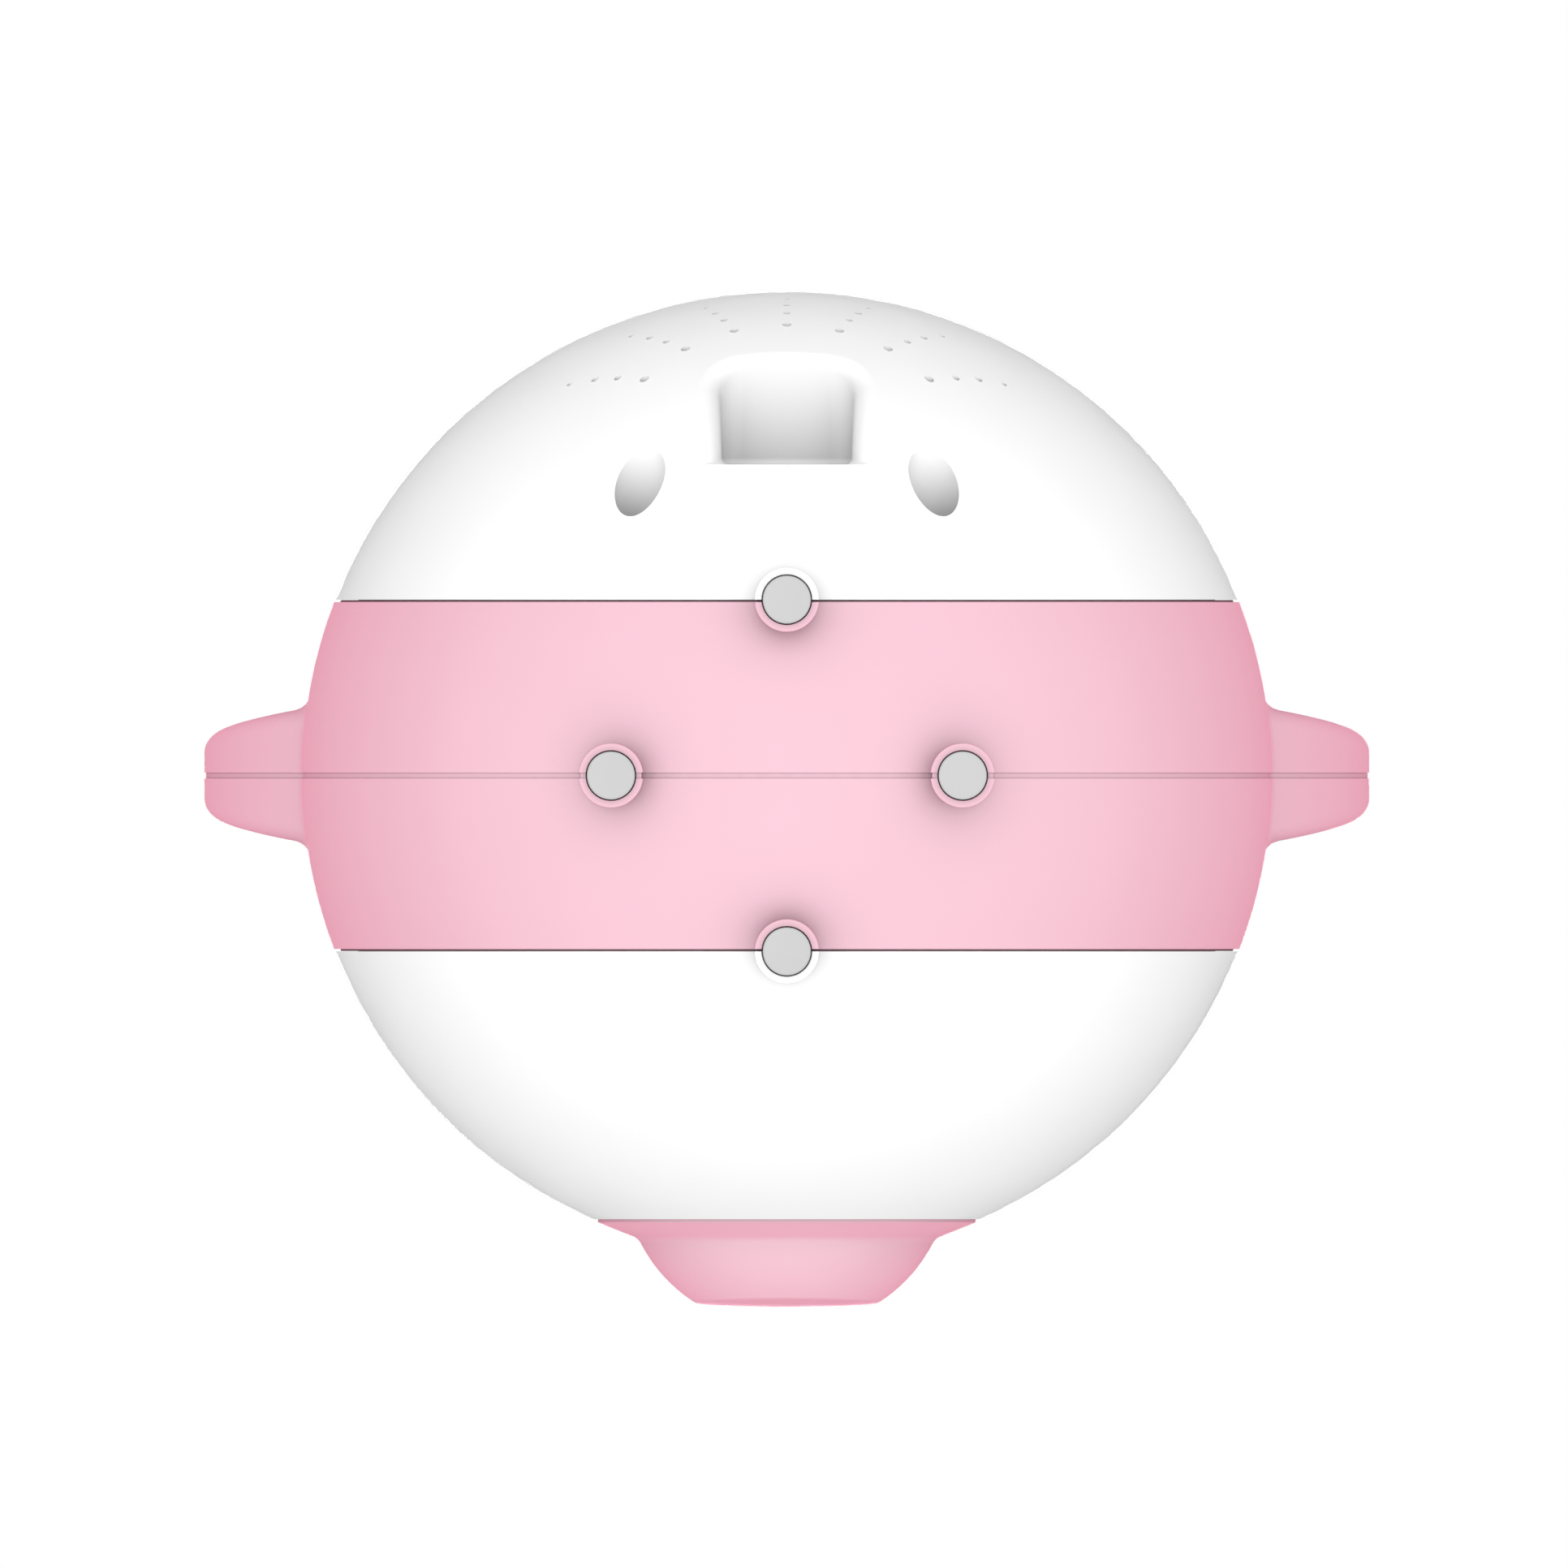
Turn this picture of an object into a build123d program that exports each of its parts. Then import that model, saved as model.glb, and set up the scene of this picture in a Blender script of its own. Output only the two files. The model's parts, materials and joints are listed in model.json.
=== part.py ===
from build123d import *
import os
from math import acos, asin, atan2, cos, degrees, hypot, radians, sin, sqrt

# A ball-shaped learning robot with two ears and a snout, standing on four rubber feet.
# Every function below works from the centre of the ball, with +Z up and the snout towards -Y.
# The finished parts are moved so that the origin lies under the middle, on the standing plane.

# Ball and shell walls
BALL_R = 60.0
BAND_R = 60.1
INNER_R = 57.5
BAND_HALF = 21.5
CAP_EDGE = 21.8
SEAM_STEP_R = 59.4
SEAM_STEP_END = 21.75
LIP_R_IN = 56.2
LIP_R_OUT = 57.4
LIP_END = 22.8
LIP_ROOT = 19.0
GROOVE_HALF = 0.375
GROOVE_DEPTH = 0.2
SEAM_TURN = 75.0

# Ears
EAR_FLANK_X = 7.2
EAR_FLANK_Z = 39.0
EAR_FLANK_R = 65.0
EAR_ROOT_LOW = -5.0
EAR_TIP_R = 9.0
EAR_TIP_ANGLE = 8.7
EAR_INNER_ROOT = (25.0, 50.0)
EAR_LEAN = 38.0
EAR_HALF_THICK = 7.95
EAR_THICK_AT = 53.7
EAR_TAPER = 0.106
EAR_EDGE_R = 2.5
EAR_ROOT_R = 2.5
EAR_WALL = 2.4

# Feet
FOOT_REACH = 21.8
BOSS_R = 4.0
BOSS_END = -60.8
BOSS_EDGE_R = 0.25
RECESS_R = 3.15
RECESS_FLOOR = -59.4
CORE_R = 2.2
CORE_END = -57.8
PAD_R = 2.975
PAD_BOTTOM = -61.6
PAD_EDGE_R = 0.3

# Snout
FACE_FLAT = -55.0
FACE_WALL = 2.4
NOSE_LENGTH = 10.7
NOSE_FLANGE_R = 23.4
NOSE_RIM = 0.4
NOSE_FLANGE_SLOPE = 0.4
NOSE_ARC_R = 19.0
NOSE_ARC_X = 1.2
NOSE_ARC_BACK = 5.7
NOSE_NECK_R = 1.8
NOSE_EDGE_R = 1.0
NOSE_DOME_R = 197.0
NOSE_TILT = 2.2
NOSE_WALL = 1.8
NOSE_SCREW_PCD = 12.0
NOSE_POST = 6.5

# Charging recess in the rear cap
RECESS_BACK = 38.55
RECESS_HALF = 8.0
RECESS_TOP = -30.6
RECESS_DRAFT = 2.2
RECESS_CORNER = 2.5
RECESS_WALL = 2.0
RECESS_BLEND = 2.3
RECESS_FLOOR_R = 0.8

# Case screws, driven from the back
SCREW_X = 18.2
SCREW_Z = 43.9
ACCESS_R = 3.15
ACCESS_TUBE_R = 4.6
ACCESS_SEAT = 27.0
TUBE_END = 23.0
BOSS_TUBE_R = 3.5
M3_R = 1.5
M3_HEAD_R = 2.75
M3_HEAD = 2.2
M2_R = 1.0
M2_HEAD_R = 1.9
M2_HEAD = 1.2
THREAD_GAP = 0.02
PASS_GAP = 0.15
SLIP_GAP = 0.3
FUSE = 0.3
POST_R = 2.5

# Speaker holes: four arcs round one centre
HOLE_CENTRE_Z = -45.9
HOLE_ARCS = ((24.1, 0.58, 15.7), (28.2, 0.45, 16.0), (31.7, 0.45, 16.2), (35.45, 0.35, 16.45))
HOLE_ROWS_PER_SIDE = 3

# Speaker
SPEAKER_Z = -11.0
SPEAKER_R = 18.0
SPEAKER_FRONT = 46.0
SPEAKER_RIM = 1.2
SPEAKER_WALL = 2.4
SPEAKER_FIX_REACH = 21.4
SPEAKER_POST_R = 2.4
SPEAKER_RING = 2.5
GASKET = 1.2

# Chassis
PLATE_R = 54.0
PLATE_FRONT = 3.0
PLATE_BACK = 5.2
FRONT_SCREW_X = 44.0
FRONT_SCREW_Z = 18.0
WINDOW_HALF = 24.0
WINDOW_LOW = -14.0
WINDOW_HIGH = 30.0
SHELF_HALF = 13.5
SHELF_DEPTH = 8.0
SHELF_TOP = 42.5
SHELF_T = 2.2

# Main board
BOARD_W = 76.0
BOARD_H = 54.0
BOARD_Z = 8.0
BOARD_Y = 9.2
BOARD_T = 1.6
BOARD_HOLE_X = 34.0
BOARD_HOLE_Z = 23.0

# Battery
CELL_R = 9.2
CELL_L = 65.0
CELL_Y = -14.0
CELL_Z = -30.0
CELL_GAP = 0.2
CRADLE_L = 70.0
CRADLE_HALF = 11.0
CRADLE_SCREW_X = 20.0
STRAP_HALF = 7.0
STRAP_T = 1.2
STRAP_SEAT = -8.0
STRAP_REACH = 15.5
STRAP_SCREW_Z = 13.0

# Port board, charging port and power switch
PORT_BOARD_TOP = -38.9
PORT_BOARD_T = 1.0
PORT_BOARD_HALF = 10.0
PORT_BOARD_Y0 = 20.0
PORT_BOARD_Y1 = 36.3
PORT_POST_X = 7.0
PORT_POST_Y = 26.0
PORT_W = 8.94
PORT_H = 3.26
PORT_WALL = 0.3
PORT_FRONT = 38.3
SWITCH_Z = -41.6
SWITCH_TRAVEL = 2.0
SLOT_HALF = 2.9
SLOT_RISE = 1.3
KNOB_HALF = 1.3
KNOB_SINK = 0.2

# Crown button
BUTTON_R = 7.8
BUTTON_HOLE_R = 8.1
BUTTON_TOP_R = 60.8
FLANGE_R = 9.4
FLANGE_TOP = 56.3
CROWN_BOARD_TOP = 45.2
CROWN_BOARD_T = 1.2
CROWN_SCREW_X = 9.5

# Eyes
EYE_X = 20.0
EYE_Z = 29.0
EYE_R = 6.0
EYE_GAP = 0.12
EYE_PROUD_R = 60.2
EYE_BOARD_Y = -36.0
EYE_BOARD_Z = 24.0
EYE_BOARD_T = 1.6
LED_T = 1.6
LED_HALF = 2.5
EYE_POST_X = 8.0

NOSE_TIP = FACE_FLAT - NOSE_LENGTH - NOSE_DOME_R * (1 - cos(radians(NOSE_TILT)))
BALL_Y = -(NOSE_TIP + BALL_R) / 2
BALL_Z = -PAD_BOTTOM


def ball(radius):
    # Poles along Y, with the surface's own seam line turned to a plain stretch of the crown.
    return Rot(0, -SEAM_TURN, 0) * Rot(90, 0, 0) * Sphere(radius)


def slab(y0, y1):
    return Pos(0, (y0 + y1) / 2, 0) * Box(200, y1 - y0, 200)


def ball_slab(radius, y0, y1):
    return ball(radius) & slab(y0, y1)


def block(x0, x1, y0, y1, z0, z1):
    return Pos((x0 + x1) / 2, (y0 + y1) / 2, (z0 + z1) / 2) * Box(x1 - x0, y1 - y0, z1 - z0)


def rod_x(radius, y, z, x0, x1):
    return Pos((x0 + x1) / 2, y, z) * Rot(0, 90, 0) * Cylinder(radius, x1 - x0)


def rod_y(radius, x, z, y0, y1):
    return Pos(x, (y0 + y1) / 2, z) * Rot(90, 0, 0) * Cylinder(radius, y1 - y0)


def rod_z(radius, x, y, z0, z1):
    return Pos(x, y, (z0 + z1) / 2) * Cylinder(radius, z1 - z0)


def corners(x, z):
    return [(x, z), (-x, z), (x, -z), (-x, -z)]


def foot_places():
    return [(0, -FOOT_REACH), (0, FOOT_REACH), (FOOT_REACH, 0), (-FOOT_REACH, 0)]


# ---- Ears ----

def ear_outline(inset):
    # Seen from the front: outer flank arc, round tip, straight inner flank, and a root inside the ball.
    start = degrees(asin((EAR_ROOT_LOW - EAR_FLANK_Z) / EAR_FLANK_R))
    flank = CenterArc((EAR_FLANK_X, EAR_FLANK_Z), EAR_FLANK_R, start, EAR_TIP_ANGLE - start)
    tip_reach = EAR_FLANK_R - EAR_TIP_R
    tip_x = EAR_FLANK_X + tip_reach * cos(radians(EAR_TIP_ANGLE))
    tip_z = EAR_FLANK_Z + tip_reach * sin(radians(EAR_TIP_ANGLE))
    root_x, root_z = EAR_INNER_ROOT
    bearing = degrees(atan2(root_z - tip_z, root_x - tip_x))
    spread = degrees(acos(EAR_TIP_R / hypot(root_x - tip_x, root_z - tip_z)))
    tip = CenterArc((tip_x, tip_z), EAR_TIP_R, EAR_TIP_ANGLE, bearing - spread - EAR_TIP_ANGLE)
    inner = Line(tip @ 1, (root_x, root_z))
    base = Line((root_x, root_z), flank @ 0)
    face = make_face([flank, tip, inner, base])
    return offset(face, amount=-inset) if inset else face


def ear_wedge(inset):
    # Front and back faces of the ear, closing in towards the tip.
    lean = radians(EAR_LEAN)
    plane = Plane(origin=(0, 0, 0), x_dir=(cos(lean), 0, sin(lean)), z_dir=(-sin(lean), 0, cos(lean)))
    near, far = 35.0, 100.0
    near_t = EAR_HALF_THICK - EAR_TAPER * (near - EAR_THICK_AT) - inset
    far_t = EAR_HALF_THICK - EAR_TAPER * (far - EAR_THICK_AT) - inset
    side = Polygon((near, -near_t), (far, -far_t), (far, far_t), (near, near_t), align=None)
    return extrude(plane * side, amount=70, both=True)


def ear():
    body = extrude(Plane.XZ * ear_outline(0), amount=15, both=True) & ear_wedge(0)
    flats = body.faces().filter_by(lambda f: abs(f.normal_at().Y) > 0.9)
    rims = [e for f in flats for e in f.edges() if (e @ 0.5).length > BALL_R - 3]
    return fillet(rims, EAR_EDGE_R)


def ear_hollow():
    return extrude(Plane.XZ * ear_outline(EAR_WALL), amount=15, both=True) & ear_wedge(EAR_WALL)


def on_ball(edge):
    reach = [(edge @ t).length for t in (0.1, 0.37, 0.63, 0.9)]
    return max(abs(r - BAND_R) for r in reach) < 0.01


def eared_ball():
    right = ear()
    whole = ball(BAND_R) + right + mirror(right, about=Plane.YZ)
    roots = [e for e in whole.edges() if on_ball(e) and abs((e @ 0.5).X) > 15]
    return fillet(roots, EAR_ROOT_R)


def groove_section():
    # The middle groove follows the ball and both ears, one groove depth under their surface.
    right = ear_outline(GROOVE_DEPTH)
    section = Circle(BAND_R - GROOVE_DEPTH) + right + mirror(right, about=Plane.YZ)
    inner = [v for v in section.vertices() if abs(Vector(v.X, v.Y).length - BAND_R + GROOVE_DEPTH) < 0.01]
    roots = [v for v in inner if abs(v.X) > 15]
    return fillet(roots, EAR_ROOT_R)


# ---- Feet ----

def foot_boss(x, y, inset=0.0):
    boss = rod_z(BOSS_R - inset, x, y, BOSS_END + inset, -45)
    return fillet(boss.edges().sort_by(Axis.Z)[0], BOSS_EDGE_R)


def foot_cuts():
    cuts = Part()
    for x, y in foot_places():
        cuts += rod_z(RECESS_R, x, y, BOSS_END - 1, RECESS_FLOOR)
        cuts += rod_z(CORE_R, x, y, CORE_END, -45)
    return cuts


def foot_pad(x, y):
    pad = rod_z(PAD_R, x, y, PAD_BOTTOM, RECESS_FLOOR)
    return fillet(pad.edges().sort_by(Axis.Z)[0], PAD_EDGE_R)


# ---- Band: two pink halves with half of each ear ----

def lip(y0, y1, root_y):
    # A ring under the neighbouring shell; beyond root_y it is fused to its own wall.
    ring = ball_slab(LIP_R_OUT, y0, y1) + ball_slab(INNER_R + 0.1, root_y, min(y1, BAND_HALF - 0.1))
    return ring - ball(LIP_R_IN)


def band_half():
    solid = eared_ball()
    for x, y in foot_places():
        solid += foot_boss(x, y)
    solid = solid & slab(GROOVE_HALF, BAND_HALF)
    groove = extrude(Plane.XZ * groove_section(), amount=GROOVE_HALF, both=True)
    for x in (FOOT_REACH, -FOOT_REACH):
        groove += foot_boss(x, 0, GROOVE_DEPTH)
    solid += groove & slab(0, GROOVE_HALF)
    solid += ball_slab(SEAM_STEP_R, BAND_HALF - 0.1, SEAM_STEP_END)
    hollow = ear_hollow()
    solid -= ball(INNER_R)
    solid -= hollow
    solid -= mirror(hollow, about=Plane.YZ)
    solid += lip(LIP_ROOT, LIP_END, LIP_ROOT) & slab(LIP_ROOT, LIP_END)
    solid -= foot_cuts()
    solid -= rod_z(BUTTON_HOLE_R, 0, 0, 40, 70)
    return solid


def middle_lip():
    ring = ball_slab(LIP_R_OUT, -2.5, 0.5) + ball_slab(INNER_R + 0.1, 0.3, 3.0)
    ring -= ball(LIP_R_IN)
    ring -= rod_z(FLANGE_R + 0.8, 0, 0, 40, 70)
    for x in (FOOT_REACH, -FOOT_REACH):
        ring -= rod_z(CORE_R, x, 0, -70, -45)
    return ring


def bands():
    rear = band_half()
    front = mirror(rear, about=Plane.XZ)
    return rear + middle_lip(), front


# ---- Rear cap ----

def recess_cutter(grow):
    # Open at the bottom; drafted towards the outside, with two rounded upper corners.
    back = RECESS_BACK - grow
    half = RECESS_HALF + grow
    top = RECESS_TOP + grow
    low = -80.0
    profile = Pos(0, (top + low) / 2) * RectangleRounded(2 * half, top - low, RECESS_CORNER + grow / 2)
    plane = Plane(origin=(0, back, 0), x_dir=(-1, 0, 0), z_dir=(0, 1, 0))
    return extrude(plane * profile, amount=40, taper=-RECESS_DRAFT)


def recess_rim(cap):
    # The outer edge of the recess: its ceiling, both round corners and both sides.
    rim = []
    for edge in cap.edges():
        middle = edge @ 0.5
        low_lip = middle.Y < RECESS_BACK + 1.3
        if middle.Z < RECESS_TOP + 3 and abs(middle.X) < RECESS_HALF + 2 and not low_lip:
            if abs(middle.length - BALL_R) < 0.01:
                rim.append(edge)
    return rim


def recess_corners(cap):
    # The inner edges where the flat back meets the ceiling, the round corners and the sides.
    inner = []
    for edge in cap.edges():
        middle = edge @ 0.5
        flat = abs(middle.Y - RECESS_BACK) < 0.01 and abs((edge @ 0.2).Y - RECESS_BACK) < 0.01
        if flat and abs(middle.X) < RECESS_HALF + 0.2 and middle.Z < 0 and middle.length < BALL_R - 1:
            inner.append(edge)
    return inner


def speaker_holes():
    # Each arc of holes has its own radius, hole radius and angle between holes.
    holes = Part()
    for reach, radius, step in HOLE_ARCS:
        for row in range(-HOLE_ROWS_PER_SIDE, HOLE_ROWS_PER_SIDE + 1):
            angle = radians(row * step)
            x = reach * sin(angle)
            z = HOLE_CENTRE_Z + reach * cos(angle)
            holes += rod_y(radius, x, z, 35, 70)
    return holes


def speaker_fixings():
    spots = []
    for angle in (90, 210, 330):
        x = SPEAKER_FIX_REACH * cos(radians(angle))
        z = SPEAKER_Z + SPEAKER_FIX_REACH * sin(radians(angle))
        spots.append((x, z))
    return spots


def rear_cap_walls():
    # The solid wall round the recess, the tubes and posts, and the step that the speaker sits in.
    back = SPEAKER_FRONT - SPEAKER_RIM
    walls = recess_cutter(RECESS_WALL)
    for x, z in corners(SCREW_X, SCREW_Z):
        walls += rod_y(ACCESS_TUBE_R, x, z, TUBE_END, BALL_R)
    walls += rod_y(SPEAKER_R + SPEAKER_WALL, 0, SPEAKER_Z, back, BALL_R)
    for x, z in speaker_fixings():
        walls += rod_y(SPEAKER_POST_R, x, z, back, BALL_R)
    for x in (PORT_POST_X, -PORT_POST_X):
        walls += rod_z(POST_R, x, PORT_POST_Y, -BALL_R, PORT_BOARD_TOP - PORT_BOARD_T)
    walls -= rod_y(SPEAKER_R + SLIP_GAP, 0, SPEAKER_Z, 0, SPEAKER_FRONT + GASKET)
    walls -= rod_y(SPEAKER_R - SPEAKER_RING, 0, SPEAKER_Z, 0, BALL_R)
    return (walls & ball(INNER_R + FUSE)) & slab(CAP_EDGE + 0.5, BALL_R)


def rear_cap():
    cap = ball_slab(BALL_R, CAP_EDGE, 70) - ball(INNER_R)
    cap += rear_cap_walls()
    cap -= recess_cutter(0)
    cap = fillet(recess_rim(cap), RECESS_BLEND)
    cap = fillet(recess_corners(cap), RECESS_FLOOR_R)
    cap += (foot_boss(0, FOOT_REACH) & slab(CAP_EDGE, 40)) - ball(INNER_R)
    for x, z in corners(SCREW_X, SCREW_Z):
        cap -= rod_y(ACCESS_R, x, z, ACCESS_SEAT, 60)
        cap -= rod_y(M3_R + PASS_GAP, x, z, 20, 30)
    for x, z in speaker_fixings():
        cap -= rod_y(M2_R + THREAD_GAP, x, z, 40, SPEAKER_FRONT - SPEAKER_RIM + 5)
    for x in (PORT_POST_X, -PORT_POST_X):
        cap -= rod_z(M2_R + THREAD_GAP, x, PORT_POST_Y, -46.5, -30)
    cap -= foot_cuts()
    cap -= speaker_holes()
    cap -= port_hole()
    cap -= block(-SLOT_HALF, SLOT_HALF, 30, 45, SWITCH_Z - SLOT_RISE, SWITCH_Z + SLOT_RISE)
    return cap


# ---- Front cap, snout and eyes ----

def eye_plane(side):
    x = side * EYE_X
    y = -sqrt(BALL_R ** 2 - EYE_X ** 2 - EYE_Z ** 2)
    return Plane(origin=(0, 0, 0), z_dir=(x, y, EYE_Z))


def eye_rod(side, radius, near, far):
    return eye_plane(side) * Pos(0, 0, (near + far) / 2) * Cylinder(radius, far - near)


def eye_lens(side):
    face = eye_rod(side, EYE_R, 55, 62) & ball(EYE_PROUD_R)
    return face + eye_rod(side, EYE_R + 1.3, 54, 55.4)


def nose_screw_places():
    spots = []
    for angle in (90, 210, 330):
        x = NOSE_SCREW_PCD * cos(radians(angle))
        z = NOSE_SCREW_PCD * sin(radians(angle))
        spots.append((x, z))
    return spots


def front_cap():
    cap = ball_slab(BALL_R, FACE_FLAT, -CAP_EDGE)
    cap += foot_boss(0, -FOOT_REACH) & slab(-40, -CAP_EDGE)
    cap -= ball_slab(INNER_R, FACE_FLAT + FACE_WALL, 0)
    inside = Part()
    for x, z in corners(FRONT_SCREW_X, FRONT_SCREW_Z):
        inside += rod_y(BOSS_TUBE_R, x, z, -BALL_R, PLATE_FRONT)
    for x in (EYE_POST_X, -EYE_POST_X):
        inside += rod_y(POST_R, x, EYE_BOARD_Z, -BALL_R, EYE_BOARD_Y)
    cap += inside & ball(INNER_R + FUSE) & slab(FACE_FLAT + 1, 10)
    for x, z in corners(FRONT_SCREW_X, FRONT_SCREW_Z):
        cap -= rod_y(M3_R + THREAD_GAP, x, z, -8, 10)
    for x in (EYE_POST_X, -EYE_POST_X):
        cap -= rod_y(M2_R + THREAD_GAP, x, EYE_BOARD_Z, EYE_BOARD_Y - 6, 0)
    for x, z in nose_screw_places():
        cap -= rod_y(M2_R + PASS_GAP, x, z, -60, -40)
    for side in (1, -1):
        cap -= eye_rod(side, EYE_R + EYE_GAP, 40, 70)
    cap -= foot_cuts()
    return cap


def arc_about(centre, start, end):
    # The shorter arc from start to end round the centre.
    middle = (start + end) / 2 - centre
    return ThreePointArc(start, centre + middle.normalized() * (start - centre).length, end)


def nose_section(depth):
    # Half of the snout's outline, from its flat base to a plain end that the dome trims.
    rim = Vector(NOSE_FLANGE_R, -NOSE_RIM)
    centre = Vector(NOSE_ARC_X, NOSE_ARC_BACK)
    along = Vector(-1, -NOSE_FLANGE_SLOPE).normalized()
    away = Vector(NOSE_FLANGE_SLOPE, -1).normalized()
    reach = NOSE_ARC_R + NOSE_NECK_R
    offset_rim = rim + away * NOSE_NECK_R - centre
    drop = offset_rim.dot(along)
    travel = -drop - sqrt(drop ** 2 - offset_rim.length ** 2 + reach ** 2)
    neck = rim + away * NOSE_NECK_R + along * travel
    on_flange = rim + along * travel
    on_bowl = centre + (neck - centre) * (NOSE_ARC_R / reach)
    end = Vector(NOSE_ARC_X + sqrt(NOSE_ARC_R ** 2 - (depth + NOSE_ARC_BACK) ** 2), -depth)
    outline = [Line((0, 0), (NOSE_FLANGE_R, 0)), Line((NOSE_FLANGE_R, 0), rim), Line(rim, on_flange)]
    outline += [arc_about(neck, on_flange, on_bowl), arc_about(centre, on_bowl, end)]
    outline += [Line(end, (0, -depth)), Line((0, -depth), (0, 0))]
    return make_face(outline)


def nose():
    # Revolved about Y: a thin sloping flange and a rounded bowl, closed by a shallow tilted dome.
    shape = revolve(Pos(0, FACE_FLAT) * nose_section(NOSE_LENGTH + 1.0), Axis.Y, 360)
    tilt = radians(NOSE_TILT)
    dome_y = FACE_FLAT - NOSE_LENGTH + NOSE_DOME_R * cos(tilt)
    shape &= Pos(0, dome_y, NOSE_DOME_R * sin(tilt)) * Sphere(NOSE_DOME_R)
    end_rim = shape.edges().sort_by(lambda e: (e @ 0.25).Y)[0]
    shape = fillet(end_rim, NOSE_EDGE_R)
    hollow = Pos(NOSE_ARC_X, NOSE_ARC_BACK) * Circle(NOSE_ARC_R - NOSE_WALL)
    hollow &= Pos(15, -NOSE_LENGTH / 2 + NOSE_WALL) * Rectangle(30, NOSE_LENGTH)
    shape -= revolve(Pos(0, FACE_FLAT) * hollow, Axis.Y, 360)
    for x, z in nose_screw_places():
        post = rod_y(POST_R, x, z, FACE_FLAT - NOSE_POST, FACE_FLAT)
        shape += post - rod_y(M2_R + THREAD_GAP, x, z, FACE_FLAT - NOSE_POST + 1, FACE_FLAT)
    return shape


# ---- Screws ----

def screw_y(x, z, seat, length, radius, head_r, head, way):
    # way is the direction that the tip points in along Y; a cross recess is cut in the head.
    tip = seat + way * length
    shank = rod_y(radius, x, z, min(seat, tip), max(seat, tip))
    top = seat - way * head
    body = shank + rod_y(head_r, x, z, min(seat, top), max(seat, top))
    reach = head_r * 0.6
    mouth = (min(top, top + way * head * 0.6), max(top, top + way * head * 0.6))
    body -= block(x - reach, x + reach, mouth[0], mouth[1], z - reach / 4, z + reach / 4)
    body -= block(x - reach / 4, x + reach / 4, mouth[0], mouth[1], z - reach, z + reach)
    return body


def screw_z(x, y, seat, length):
    body = rod_z(M2_R, x, y, seat - length, seat) + rod_z(M2_HEAD_R, x, y, seat, seat + M2_HEAD)
    reach = M2_HEAD_R * 0.6
    body -= block(x - reach, x + reach, y - reach / 4, y + reach / 4, seat + 0.5, seat + 2)
    body -= block(x - reach / 4, x + reach / 4, y - reach, y + reach, seat + 0.5, seat + 2)
    return body


def screws_y(places, seat, length, radius, head_r, head, way):
    return [screw_y(x, z, seat, length, radius, head_r, head, way) for x, z in places]


# ---- Chassis and battery ----

def chassis():
    plate = rod_y(PLATE_R, 0, 0, PLATE_FRONT, PLATE_BACK)
    plate -= block(-WINDOW_HALF, WINDOW_HALF, 0, 10, WINDOW_LOW, WINDOW_HIGH)
    plate -= block(-SHELF_HALF, SHELF_HALF, 0, 10, SHELF_TOP, BALL_R)
    plate += block(-SHELF_HALF, SHELF_HALF, -SHELF_DEPTH, SHELF_DEPTH, SHELF_TOP - SHELF_T, SHELF_TOP)
    for x in (CROWN_SCREW_X, -CROWN_SCREW_X):
        plate += rod_z(POST_R, x, 0, SHELF_TOP - 0.5, CROWN_BOARD_TOP - CROWN_BOARD_T)
        plate -= rod_z(M2_R + THREAD_GAP, x, 0, 39, 50)
    for x, z in corners(SCREW_X, SCREW_Z):
        plate += rod_y(BOSS_TUBE_R, x, z, PLATE_FRONT, TUBE_END)
        plate -= rod_y(M3_R + THREAD_GAP, x, z, 10, 30)
    for x, z in corners(BOARD_HOLE_X, BOARD_HOLE_Z):
        plate += rod_y(2.6, x, z + BOARD_Z, PLATE_FRONT, BOARD_Y)
        plate -= rod_y(M2_R + THREAD_GAP, x, z + BOARD_Z, 2, 12)
    for x, z in corners(FRONT_SCREW_X, FRONT_SCREW_Z):
        plate -= rod_y(M3_R + PASS_GAP, x, z, 0, 10)
    for x in (CRADLE_SCREW_X, -CRADLE_SCREW_X):
        plate -= rod_y(M2_R + PASS_GAP, x, CELL_Z, 0, 10)
    return plate


def battery_cradle():
    half = CRADLE_L / 2
    trough = block(-half, half, CELL_Y, PLATE_FRONT, CELL_Z - CRADLE_HALF, CELL_Z + CRADLE_HALF)
    trough += block(-9, 9, STRAP_SEAT, PLATE_FRONT, CELL_Z - STRAP_REACH, CELL_Z + STRAP_REACH)
    trough -= rod_x(CELL_R + CELL_GAP, CELL_Y, CELL_Z, -CELL_L / 2 - CELL_GAP, CELL_L / 2 + CELL_GAP)
    slot = STRAP_HALF + SLIP_GAP
    trough -= block(-slot, slot, CELL_Y - 1, STRAP_SEAT, CELL_Z - 20, CELL_Z + 20)
    for x in (CRADLE_SCREW_X, -CRADLE_SCREW_X):
        trough -= rod_y(M2_R + THREAD_GAP, x, CELL_Z, -3, 5)
    for z in (CELL_Z - STRAP_SCREW_Z, CELL_Z + STRAP_SCREW_Z):
        trough -= rod_y(M2_R + THREAD_GAP, 0, z, STRAP_SEAT, -1)
    return trough


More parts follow.
